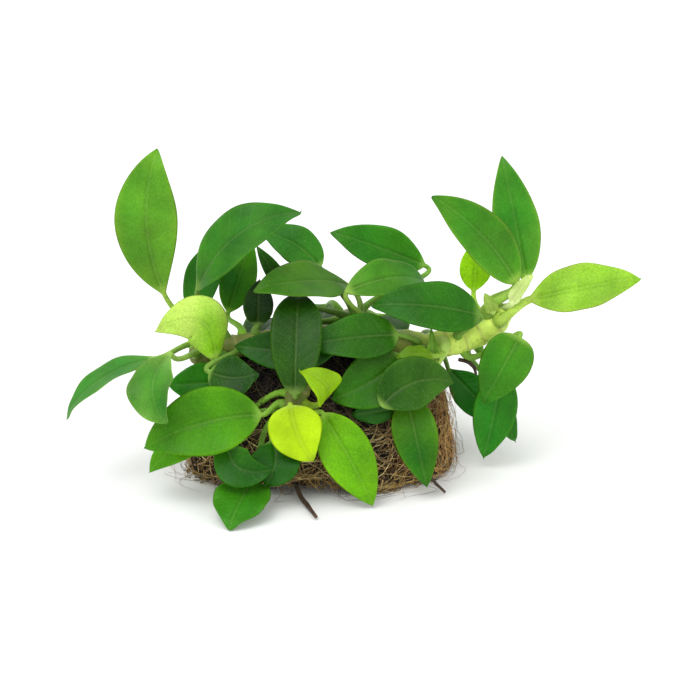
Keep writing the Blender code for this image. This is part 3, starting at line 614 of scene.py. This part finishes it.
def rod(name, points, finish, around, tint_at, node_pitch, node_height, seed):
    """A round stem along a smooth path: its radius swells a little at nodes an even pitch apart, and its
    ends are domes, whose radius follows a quarter circle."""
    path = smooth_path(points, 14)
    middle, radius = path[:, :3], path[:, 3]
    along = unit(np.gradient(middle, axis=0))
    quarter = np.linspace(0.12, 0.42, 4)[:, None] * np.pi
    first = middle[0] - along[0] * radius[0] * 0.55 * np.cos(quarter)
    last = middle[-1] + along[-1] * radius[-1] * 0.70 * np.cos(quarter[::-1])
    middle = np.vstack((first, middle, last))
    round_end = np.sin(quarter[:, 0])
    radius = np.concatenate((radius[0] * round_end, radius, radius[-1] * round_end[::-1]))
    along = np.vstack((np.repeat(along[:1], 4, 0), along, np.repeat(along[-1:], 4, 0)))
    guide = np.array((0.05, 0.1, 1.0)) if abs(along[0][2]) < 0.9 else np.array((1.0, 0.1, 0.0))
    across = square_to(guide * np.ones_like(along), along)
    up = np.cross(along, across)
    gone = np.concatenate(((0,), np.cumsum(np.linalg.norm(np.diff(middle, axis=0), axis=1))))
    turn = np.linspace(0, 2 * np.pi, around, endpoint=False)[None, :, None]
    slant = gone[:, None] + 0.35 * np.cos(turn[..., 0] + seed)
    ring = bell((slant / node_pitch + 0.3 * seed) % 1 - 0.5, 0.045)
    spread = np.cos(turn) * across[:, None] + np.sin(turn) * up[:, None]
    rough = middle[:, None] + spread * radius[:, None, None]
    swell = 1 + node_height * ring + 0.05 * ripple(rough, 5.0, seed) + 0.02 * ripple(rough, 1.6, seed + 1)
    rings = middle[:, None] + spread * (radius[:, None] * swell)[..., None]
    tint = tint_at(rings, ring)
    poles = np.vstack((middle[0] - along[0] * 0.05, middle[-1] + along[-1] * 0.05))
    return skin(name, rings, poles, finish, {"tint": tint})


# ---------------------------------------------------------------- stone and mat

def block_reach(direction):
    """How far the rounded block's surface is from its middle: (sum |d/h|^p)^(-1/p)."""
    share = (np.abs(direction / np.array(STONE_HALF)) ** STONE_POWER).sum(-1)
    return share ** (-1 / STONE_POWER)


def mat_edge_angle(around):
    """How far down from straight up the mat reaches at this angle round the stone."""
    height = MAT_EDGE + MAT_EDGE_WAVE * np.sin(3 * around + 0.6) + 0.5 * MAT_EDGE_WAVE * np.sin(7 * around)
    level = np.stack((np.cos(around), np.sin(around), 0 * around), -1)
    return np.pi / 2 + np.arctan2(STONE_MIDDLE - height, block_reach(level))


def mat_point(around, share, lift):
    """A point on the mat, lift millimetres over its inner face: share runs from 0 on top to 1 at its lower
    edge, and past 1 on down to the ground and out along it."""
    held = np.minimum(share, 1.0)
    down = held * mat_edge_angle(around)
    outward = np.stack((np.cos(around), np.sin(around), 0 * around), -1)
    direction = outward * np.sin(down)[..., None] + np.array((0, 0, 1.0)) * np.cos(down)[..., None]
    reach = block_reach(direction) + MAT_CLEARANCE + lift
    place = direction * reach[..., None] + np.array((0, 0, STONE_MIDDLE))
    place = place + outward * (MAT_FLARE * held**6)[..., None]
    over = np.maximum(share - 1, 0) * MAT_SLOPE
    drop = np.minimum(over, place[..., 2] - FRINGE_CLEARANCE)
    place = place + outward * (FRINGE_SPLAY * drop + FRINGE_SPREAD * (over - drop))[..., None]
    place[..., 2] -= drop
    return place


def stone_skin(name, finish, sizes):
    """The stone: the rounded block, its flat breaks, and a rough relief, cut flat at the ground."""
    down = np.linspace(0.02, 0.98, 110)[:, None] * np.pi
    turn = np.linspace(0, 2 * np.pi, 180, endpoint=False)[None]
    direction = np.stack((np.sin(down) * np.cos(turn), np.sin(down) * np.sin(turn),
                          np.cos(down) + 0 * turn), -1)
    reach = block_reach(direction)
    for facing, distance in STONE_BREAKS:
        toward = np.maximum(dot(direction, unit(np.array(facing)))[..., 0], 1e-3)
        reach = np.minimum(reach, distance / toward)
    rough = direction * reach[..., None]
    relief = ripple(rough, 9.0, 5) + 0.6 * ripple(rough, 4.0, 6) + 0.35 * ripple(rough, 1.7, 7)
    reach = reach - sizes.relief / MM * (1.3 + relief)
    rings = direction * reach[..., None] + np.array((0, 0, STONE_MIDDLE))
    rings[..., 2] = np.maximum(rings[..., 2], 0.0)
    low = rings[..., 2] <= 0
    poles = np.array(((0, 0, rings[0, :, 2].mean() + 0.1), (0, 0, 0)))
    worn = np.clip(0.5 + 0.5 * relief, 0, 1)
    tint = mixed(np.array(sizes.dark), np.array(sizes.worn), worn * (1 - low))
    return skin(name, rings, poles, finish, {"tint": tint})


def mat_skin(name, finish, coir):
    """The felt under the loose fibres: an outer and an inner dome joined round a ragged lower edge."""
    outer_rows, inner_rows = 60, 24
    turn = np.linspace(0, 2 * np.pi, 220, endpoint=False)[None]
    share = np.concatenate((np.linspace(0.02, 1, outer_rows), np.linspace(1, 0.02, inner_rows)))[:, None]
    outer = (np.arange(outer_rows + inner_rows) < outer_rows)[:, None]
    turn, share = turn + 0 * share, share + 0 * turn
    flat = mat_point(turn, share, np.full_like(turn, MAT_THICKNESS))
    fray = ripple(flat, 3.2, 11) + 0.7 * ripple(flat, 1.4, 12)
    lift = np.where(outer, MAT_THICKNESS - 0.35 + 0.30 * fray, 0.1)
    ragged = share + np.where(share > 0.97, 0.012 * ripple(flat, 2.2, 13), 0.0)
    rings = mat_point(turn, ragged, lift)
    rings[..., 2] = np.maximum(rings[..., 2], 0.15)
    poles = mat_point(np.zeros(2), np.zeros(2), np.array((MAT_THICKNESS - 0.3, 0.1)))
    # painted shade: the felt is darker in its hollows and lighter where it stands out
    tint = mixed(np.array(coir.felt_shaded), np.array(coir.felt_light), np.clip(0.35 + 0.3 * fray, 0, 1))
    return skin(name, rings, poles, finish, {"tint": tint})


def fibre_piece(group, finish, density, seed):
    """Loose fibres over the mat. Each takes equal strides in (around, share) from a random start while its
    heading drifts by a random walk; it rests at its own height, and its middle and its end stand off. The
    fibres carry painted shade: dark on the mat's top, under the leaves, and paler towards its edge."""
    dice = np.random.default_rng(seed + 40)
    count = max(1, int(group.count * density))
    shape = (count, group.steps)
    t = np.linspace(0, 1, group.steps)[None]
    angle = group.heading[0] + group.heading[1] * dice.normal(size=(count, 1))
    angle = np.where(dice.random((count, 1)) < 0.5, np.pi - angle, angle)
    angle = angle + np.cumsum(dice.normal(size=shape) * group.wander, axis=1)
    around = group.around[0] + group.around[1] * dice.uniform(-1, 1, (count, 1))
    around = around + np.cumsum(np.cos(angle), axis=1) * group.stride / MAT_GIRTH_RADIUS
    share = dice.uniform(*group.share, (count, 1))
    share = share + np.cumsum(np.sin(angle), axis=1) * group.stride / MAT_SLOPE
    share = np.minimum(np.abs(share), 1 + group.reach * dice.random((count, 1)))
    rest = dice.uniform(*group.lift, (count, 1))
    stand = (group.loft * dice.random((count, 1)) * np.sin(np.pi * t)
             + group.tail * dice.random((count, 1)) * t**2)
    wobble = FIBRE_WOBBLE * np.sin(2 * np.pi * (dice.uniform(1, 3, (count, 1)) * t + dice.random((count, 1))))
    paths = mat_point(around, share, rest + stand + wobble)
    radius = dice.uniform(*group.radius, (count, 1))
    paths[..., 2] = np.maximum(paths[..., 2], radius + 0.05)
    taper = np.clip(1.15 - t**3, 0.2, 1) * (1 + 0.15 * np.sin(9 * t + 6 * around))
    pick = np.clip(dice.beta(1.3, 1.6, (count, 1)) + 0.12 * np.sin(14 * t + 5 * rest), 0, 1)
    # painted shade: fibres are darkened on the mat's top, where the leaves shade it
    unshaded = FIBRE_SHADE_KEEP + (1 - FIBRE_SHADE_KEEP) * ease(share, *SHADE_FADE)[..., None]
    tint = mixed(linear(group.shades[0]), linear(group.shades[1]), pick) * unshaded
    sides = 3 if group.radius[1] < 0.25 else 6
    return strands(group.name, paths, radius * taper, sides, finish, {"tint": tint})


# ---------------------------------------------------------------- finishes

def add(tree, kind, inputs=None, links=None, **settings):
    """One shader node with its settings, its fixed inputs and its links from other nodes' outputs."""
    node = tree.nodes.new("ShaderNode" + kind)
    for key, value in settings.items():
        setattr(node, key, value)
    for key, value in (inputs or {}).items():
        node.inputs[key].default_value = value
    for key, source in (links or {}).items():
        tree.links.new(source, node.inputs[key])
    return node


def new_finish(name, **constants):
    """A material with its uniform values on the shader itself, and the two things its patterns read:
    where a point is on its piece, and the colour painted there."""
    finish = bpy.data.materials.new(name)
    finish.use_nodes = True
    surface = finish.node_tree.nodes["Principled BSDF"]
    for key, value in constants.items():
        surface.inputs[key.replace("_", " ")].default_value = value
    tree = finish.node_tree
    place = add(tree, "TexCoord").outputs["Object"]
    tint = add(tree, "Attribute", attribute_name="tint").outputs["Color"]
    return tree, finish, place, tint


def shaded(tree, tint, amount):
    """A colour darkened or lightened by an amount that varies over the surface."""
    grey = add(tree, "CombineColor", links={0: amount, 1: amount, 2: amount}).outputs[0]
    return add(tree, "Mix", {0: 1.0}, {6: tint, 7: grey}, data_type="RGBA", blend_type="MULTIPLY").outputs[2]


def finished(finish, colour, rough, height, strength, depth):
    """The finish with its colour, its roughness and a relief this many millimetres deep."""
    tree = finish.node_tree
    surface = tree.nodes["Principled BSDF"]
    relief = add(tree, "Bump", {"Strength": strength, "Distance": depth * MM},
                 {"Height": height}).outputs[0]
    for socket, source in (("Base Color", colour), ("Roughness", rough), ("Normal", relief)):
        tree.links.new(source, surface.inputs[socket])
    return finish


def leaf_finish(name, gloss, speckle, vein):
    """Living leaf under a thin wax cuticle: a soft sheen that breaks up over the cells and side veins, paler
    vein lines, and fine pale specks. gloss is its mean roughness, speckle and vein how strongly they show."""
    tree, finish, place, tint = new_finish(name, IOR=1.45, Specular_IOR_Level=0.16)
    phase = add(tree, "Attribute", attribute_name="vein").outputs["Fac"]
    blade = add(tree, "Attribute", attribute_name="blade").outputs["Fac"]
    # blotches 9 mm across, where a leaf is thicker or thinner
    blotch = add(tree, "TexNoise", {"Scale": 110.0, "Detail": 4.0}, {"Vector": place}).outputs["Fac"]
    # cells 0.5 mm across: the real ones are finer, and are drawn this coarse so that they show
    cells = add(tree, "TexNoise", {"Scale": 2200.0, "Detail": 2.0}, {"Vector": place}).outputs["Fac"]
    dots = add(tree, "TexVoronoi", {"Scale": 2000.0}, {"Vector": place}).outputs["Distance"]
    # a vein runs where the phase is a whole number
    part = add(tree, "Math", links={0: phase}, operation="FRACT").outputs[0]
    off = add(tree, "Math", {1: 0.5}, {0: part}, operation="SUBTRACT").outputs[0]
    near = add(tree, "Math", links={0: off}, operation="ABSOLUTE").outputs[0]
    line = add(tree, "MapRange", {1: 0.41, 2: 0.5, 3: 0.0, 4: 1.0}, {0: near},
               interpolation_type="SMOOTHSTEP").outputs[0]
    line = add(tree, "Math", links={0: line, 1: blade}, operation="MULTIPLY").outputs[0]
    shade = add(tree, "MapRange", {1: 0.30, 2: 0.70, 3: 0.62, 4: 1.02}, {0: blotch}).outputs[0]
    fleck = add(tree, "MapRange", {1: 0.35, 2: 0.65, 3: 1 - 0.5 * speckle, 4: 1 + 0.5 * speckle},
                {0: cells}).outputs[0]
    amount = add(tree, "Math", links={0: shade, 1: fleck}, operation="MULTIPLY").outputs[0]
    body = shaded(tree, tint, amount)
    lit = add(tree, "Math", {1: vein}, {0: line}, operation="MULTIPLY").outputs[0]
    veined = add(tree, "Mix", {7: (*linear("#BFD48A"), 1)}, {0: lit, 6: body}, data_type="RGBA").outputs[2]
    speck = add(tree, "MapRange", {1: 0.07, 2: 0.18, 3: speckle, 4: 0.0}, {0: dots}).outputs[0]
    specked = add(tree, "Mix", {7: (*linear("#B4D68C"), 1)}, {0: speck, 6: veined},
                  data_type="RGBA").outputs[2]
    rough = add(tree, "MapRange", {1: 0.3, 2: 0.7, 3: gloss - 0.06, 4: gloss + 0.12}, {0: cells}).outputs[0]
    height = add(tree, "Math", {1: 0.25}, {0: line}, operation="MULTIPLY").outputs[0]
    height = add(tree, "Math", links={0: cells, 1: height}, operation="SUBTRACT").outputs[0]
    return finished(finish, specked, rough, height, 0.55, 0.06)


def rhizome_finish():
    """Green creeping stem: firm, smooth skin with a low wax sheen, brown scar lines and corky freckles."""
    tree, finish, place, tint = new_finish("anubias_rhizome_skin", IOR=1.45, Specular_IOR_Level=0.35)
    blotch = add(tree, "TexNoise", {"Scale": 420.0, "Detail": 5.0}, {"Vector": place}).outputs["Fac"]
    freckle = add(tree, "TexVoronoi", {"Scale": 700.0}, {"Vector": place}).outputs["Distance"]
    shade = add(tree, "MapRange", {1: 0.3, 2: 0.7, 3: 0.82, 4: 1.12}, {0: blotch}).outputs[0]
    body = shaded(tree, tint, shade)
    mark = add(tree, "MapRange", {1: 0.12, 2: 0.22, 3: 0.55, 4: 0.0}, {0: freckle}).outputs[0]
    marked = add(tree, "Mix", {7: (*linear("#7D7A3C"), 1)}, {0: mark, 6: body}, data_type="RGBA").outputs[2]
    rough = add(tree, "MapRange", {1: 0.3, 2: 0.7, 3: 0.36, 4: 0.55}, {0: blotch}).outputs[0]
    return finished(finish, marked, rough, blotch, 0.6, 0.12)


def fibre_finish(name, gloss):
    """Coconut coir and dry root hair: dull, rough fibres whose colour breaks up every few millimetres, with
    pith grains along them."""
    tree, finish, place, tint = new_finish(name, IOR=1.5)
    blotch = add(tree, "TexNoise", {"Scale": 600.0, "Detail": 4.0}, {"Vector": place}).outputs["Fac"]
    grain = add(tree, "TexNoise", {"Scale": 4500.0, "Detail": 2.0}, {"Vector": place}).outputs["Fac"]
    both = add(tree, "Math", links={0: blotch, 1: grain}, operation="ADD").outputs[0]
    shade = add(tree, "MapRange", {1: 0.7, 2: 1.3, 3: 0.55, 4: 1.35}, {0: both}).outputs[0]
    body = shaded(tree, tint, shade)
    rough = add(tree, "MapRange", {1: 0.3, 2: 0.7, 3: gloss - 0.1, 4: gloss + 0.1}, {0: grain}).outputs[0]
    return finished(finish, body, rough, grain, 0.8, 0.08)


def stone_finish():
    """Broken basalt, damp from the tank: near black, fine grained, with paler worn ridges and small pits."""
    tree, finish, place, tint = new_finish("broken_basalt", IOR=1.55)
    patch = add(tree, "TexNoise", {"Scale": 120.0, "Detail": 6.0}, {"Vector": place}).outputs["Fac"]
    grain = add(tree, "TexNoise", {"Scale": 1500.0, "Detail": 4.0}, {"Vector": place}).outputs["Fac"]
    pits = add(tree, "TexVoronoi", {"Scale": 500.0}, {"Vector": place}).outputs["Distance"]
    both = add(tree, "Math", links={0: patch, 1: grain}, operation="ADD").outputs[0]
    shade = add(tree, "MapRange", {1: 0.7, 2: 1.3, 3: 0.6, 4: 1.4}, {0: both}).outputs[0]
    body = shaded(tree, tint, shade)
    rough = add(tree, "MapRange", {1: 0.3, 2: 0.7, 3: 0.55, 4: 0.8}, {0: grain}).outputs[0]
    height = add(tree, "Math", links={0: grain, 1: pits}, operation="ADD").outputs[0]
    return finished(finish, body, rough, height, 0.7, 0.3)


def floor_finish(colour):
    """Matt white paper: no gloss, and a tooth too fine to see as more than a slight unevenness."""
    tree, finish, place, _ = new_finish("matt_paper_sweep", Roughness=0.9, Specular_IOR_Level=0.1)
    tooth = add(tree, "TexNoise", {"Scale": 900.0, "Detail": 2.0}, {"Vector": place}).outputs["Fac"]
    white = add(tree, "Mix", {6: (*colour, 1), 7: (*(0.985 * np.array(colour)), 1)}, {0: tooth},
                data_type="RGBA").outputs[2]
    tree.links.new(white, tree.nodes["Principled BSDF"].inputs["Base Color"])
    return finish


# ---------------------------------------------------------------- sizes and colours a user may change

def length(name, description, default):
    """A length property. Its default is given in millimetres."""
    return bpy.props.FloatProperty(name=name, description=description, default=default * MM, min=0.0,
                                   precision=5, unit="LENGTH")


def shade_of(name, description, colour):
    """A colour property. Its default is given as sRGB hex."""
    return bpy.props.FloatVectorProperty(name=name, description=description, subtype="COLOR", size=3,
                                         min=0.0, max=1.0, default=tuple(linear(colour)))


class AnubiasLeaves(bpy.types.PropertyGroup):
    """What all the leaves share."""

    blade_thickness: length("Blade thickness", "Thickness of a blade between its veins", 0.44)
    vein_depth: length("Vein depth", "Height of the raised panels between side veins", 0.035)
    margin_wave: length("Margin wave", "How far a blade's margins wave up and down", 0.35)
    veins: bpy.props.IntProperty(name="Side veins", description="Side veins along each half of a blade",
                                 default=10, min=2, max=30)
    midrib: shade_of("Midrib", "The pale line along the middle of a blade", "#B9D07C")
    petiole: shade_of("Petiole", "The colour that leaf stalks run to", "#A9CC62")
    underside: shade_of("Underside", "The paler, greyer green under a blade", "#8DA77C")


class AnubiasRhizome(bpy.types.PropertyGroup):
    """The creeping stem."""

    node_pitch: length("Node pitch", "Distance between leaf scars along the stem", 4.4)
    node_height: bpy.props.FloatProperty(name="Node height", description="Swell at a scar as a share of the "
                                         "stem's radius", default=0.035, min=0.0, max=0.5, subtype="FACTOR")
    young: shade_of("Young stem", "The growing end at the right", "#CCE862")
    old: shade_of("Old stem", "The older wood at the left", "#6E7A34")
    scar: shade_of("Scar", "The dry line that each fallen leaf leaves", "#A2A258")


class AnubiasStone(bpy.types.PropertyGroup):
    """The stone."""

    relief: length("Relief", "Depth of the stone's rough surface", 0.35)
    dark: shade_of("Dark rock", "The rock in its hollows", "#24211E")
    worn: shade_of("Worn rock", "The rock on its ridges", "#5A534A")


class AnubiasCoir(bpy.types.PropertyGroup):
    """The coir mat and the roots matted into it."""

    density: bpy.props.FloatProperty(name="Density", description="Share of the full number of fibres",
                                     default=1.0, min=0.05, max=1.0, subtype="FACTOR")
    # painted shade: this deep felt colour paints the shade in the felt's hollows
    felt_shaded: shade_of("Deep felt", "The felt in its hollows", "#0B0704")
    felt_light: shade_of("Felt", "The felt where it stands out", "#20130A")
    root: shade_of("Root", "The plant's own thick roots", "#4C3622")


class AnubiasStage(bpy.types.PropertyGroup):
    """Floor, light and camera."""

    floor_radius: length("Floor radius", "Half width of the floor", 5000.0)
    floor: shade_of("Floor", "The paper that the plant stands on", "#F6F7F6")
    sky: bpy.props.FloatProperty(name="Sky", description="Brightness of the white surroundings", default=1.0,
                                 min=0.0)
    sun: bpy.props.FloatProperty(name="Broad light", description="Irradiance of the even light from the left",
                                 default=0.6, min=0.0)
    key: bpy.props.FloatProperty(name="Key light", description="Power of the soft light at the upper left",
                                 default=2.6, min=0.0, unit="POWER")
    fill: bpy.props.FloatProperty(name="Fill light", description="Power of the soft light at the right",
                                  default=0.5, min=0.0, unit="POWER")
    lens: bpy.props.FloatProperty(name="Lens", description="Focal length of the camera", default=85.0,
                                  min=10.0, unit="CAMERA")


# ---------------------------------------------------------------- one operator for each group of pieces

def leaf_kind(leaf):
    """The kind of a leaf, by its age, which picks its finish."""
    for kind, names in LEAF_AGES.items():
        if leaf.name in names:
            return kind
    return "leaf"


class ANUBIAS_OT_leaves(bpy.types.Operator):
    """Builds each leaf, petiole and blade in one skin, in place of its CAD solid"""

    bl_idname = "anubias.leaves"
    bl_label = "Leaves"

    def execute(self, context):
        finishes = {
            "new_leaf": leaf_finish("tender_new_leaf", 0.42, 0.10, 0.03),
            "young_leaf": leaf_finish("young_waxy_leaf", 0.38, 0.26, 0.02),
            "leaf": leaf_finish("mature_waxy_leaf", 0.36, 0.20, 0.02),
            "old_leaf": leaf_finish("old_dark_leaf", 0.40, 0.14, 0.02),
        }
        for leaf in LEAVES:
            kind = leaf_kind(leaf)
            piece = leaf_skin(leaf, finishes[kind], context.scene.anubias_leaves)
            settle(piece, kind, leaf.name)
        for sheath in SHEATHS:
            piece = leaf_skin(sheath, finishes["new_leaf"], context.scene.anubias_leaves)
            settle(piece, "new_leaf")
        return {"FINISHED"}


class ANUBIAS_OT_rhizome(bpy.types.Operator):
    """Builds the ringed creeping stem in place of its CAD tubes"""

    bl_idname = "anubias.rhizome"
    bl_label = "Rhizome"

    def execute(self, context):
        stem = context.scene.anubias_rhizome
        finish = rhizome_finish()
        young, old, scar = (np.array(c) for c in (stem.young, stem.old, stem.scar))

        def tint(points, ring):
            age = ease(points[..., 0] + 2.5 * ripple(points, 9.0, 21), 12.0, 36.0)
            return mixed(mixed(old, young, age), scar, 0.6 * ring)

        for number, (name, points) in enumerate(RHIZOMES.items()):
            piece = rod("ringed_" + name, points, finish, 40, tint, stem.node_pitch / MM, stem.node_height,
                        number)
            settle(piece, "rhizome", name)
        return {"FINISHED"}


class ANUBIAS_OT_stone(bpy.types.Operator):
    """Builds the stone in place of its CAD solid"""

    bl_idname = "anubias.stone"
    bl_label = "Stone"

    def execute(self, context):
        piece = stone_skin("rough_stone", stone_finish(), context.scene.anubias_stone)
        settle(piece, "rock", "stone")
        return {"FINISHED"}


class ANUBIAS_OT_coir(bpy.types.Operator):
    """Builds the felt in place of the CAD mat, and the loose fibres, hairs and fine roots over it"""

    bl_idname = "anubias.coir"
    bl_label = "Coir"

    def execute(self, context):
        coir = context.scene.anubias_coir
        finish = fibre_finish("coconut_coir_fibre", 0.8)
        settle(mat_skin("coir_felt", finish, coir), "coir", "coir_mat")
        for number, group in enumerate(COIR):
            settle(fibre_piece(group, finish, coir.density, number), "coir")
        return {"FINISHED"}


class ANUBIAS_OT_roots(bpy.types.Operator):
    """Builds the thick roots in place of their CAD tubes"""

    bl_idname = "anubias.roots"
    bl_label = "Roots"

    def execute(self, context):
        finish = fibre_finish("anubias_root_skin", 0.6)
        colour = np.array(context.scene.anubias_coir.root)

        def tint(points, ring):
            return mixed(colour, 0.35 * colour, np.clip(0.5 + 0.4 * ripple(points, 4.0, 31), 0, 1))

        for number, (name, points) in enumerate(ROOTS.items()):
            settle(rod("fine_" + name, points, finish, 14, tint, 3.0, 0.0, number), "root", name)
        return {"FINISHED"}


def aimed(name, data, place, target, scene):
    """A lamp or camera at a place, looking at a target."""
    item = bpy.data.objects.new(name, data)
    item.location = Vector(place) * MM
    item.rotation_euler = (Vector(target) - Vector(place)).to_track_quat("-Z", "Y").to_euler()
    scene.collection.objects.link(item)
    return item


class ANUBIAS_OT_stage(bpy.types.Operator):
    """Lays the floor and places the lights and the camera"""

    bl_idname = "anubias.stage"
    bl_label = "Stage"

    def execute(self, context):
        stage = context.scene.anubias_stage
        scene = context.scene
        corner = np.array(((-1, -1, 0), (1, -1, 0), (1, 1, 0), (-1, 1, 0))) * stage.floor_radius / MM
        corner[:, 2] = -0.02
        floor = put_mesh("paper_floor", corner, [np.array(((0, 1, 2, 3),))], floor_finish(stage.floor), {})
        world = bpy.data.worlds.new("white_room")
        world.use_nodes = True
        world.node_tree.nodes["Background"].inputs["Color"].default_value = (1, 1, 1, 1)
        world.node_tree.nodes["Background"].inputs["Strength"].default_value = stage.sky
        scene.world = world
        for name, place, size, power in (("key_light", KEY_PLACE, KEY_SIZE, stage.key),
                                         ("fill_light", FILL_PLACE, FILL_SIZE, stage.fill)):
            lamp = bpy.data.lights.new(name, "AREA")
            lamp.shape = "DISK"
            lamp.size = size * MM
            lamp.energy = power
            aimed(name, lamp, place, TARGET, scene)
        broad = bpy.data.lights.new("broad_light", "SUN")
        broad.energy = stage.sun
        broad.angle = np.radians(BROAD_SPREAD)
        aimed("broad_light", broad, KEY_PLACE, TARGET, scene)
        camera = bpy.data.cameras.new("camera")
        camera.lens = stage.lens
        camera.sensor_width = SENSOR
        camera.clip_start = 0.01
        scene.camera = aimed("camera", camera, CAMERA_PLACE, TARGET, scene)
        scene.view_settings.view_transform = "Standard"
        return {"FINISHED"}


class ANUBIAS_PT_panel(bpy.types.Panel):
    """The sizes and colours, and a button for each group of pieces"""

    bl_idname = "ANUBIAS_PT_panel"
    bl_label = "Anubias on stone"
    bl_space_type = "VIEW_3D"
    bl_region_type = "UI"
    bl_category = "Anubias"

    def draw(self, context):
        for setting in SETTINGS:
            group = getattr(context.scene, setting)
            box = self.layout.box()
            box.label(text=setting.replace("_", " "))
            for key in type(group).__annotations__:
                box.prop(group, key)
        for operator in OPERATORS:
            self.layout.operator(operator.bl_idname)


SETTINGS = {
    "anubias_stone": AnubiasStone,
    "anubias_coir": AnubiasCoir,
    "anubias_rhizome": AnubiasRhizome,
    "anubias_leaves": AnubiasLeaves,
    "anubias_stage": AnubiasStage,
}
OPERATORS = (ANUBIAS_OT_stone, ANUBIAS_OT_coir, ANUBIAS_OT_roots, ANUBIAS_OT_rhizome, ANUBIAS_OT_leaves,
             ANUBIAS_OT_stage)


def register():
    for group in SETTINGS.values():
        bpy.utils.register_class(group)
    for item in (*OPERATORS, ANUBIAS_PT_panel):
        bpy.utils.register_class(item)
    for setting, group in SETTINGS.items():
        setattr(bpy.types.Scene, setting, bpy.props.PointerProperty(type=group))


def unregister():
    for setting in SETTINGS:
        delattr(bpy.types.Scene, setting)
    for item in (ANUBIAS_PT_panel, *reversed(OPERATORS), *SETTINGS.values()):
        bpy.utils.unregister_class(item)


def main():
    """Builds every piece and the stage."""
    register()
    bpy.ops.anubias.stone()
    bpy.ops.anubias.coir()
    bpy.ops.anubias.roots()
    bpy.ops.anubias.rhizome()
    bpy.ops.anubias.leaves()
    bpy.ops.anubias.stage()


if __name__ == "__main__":
    main()
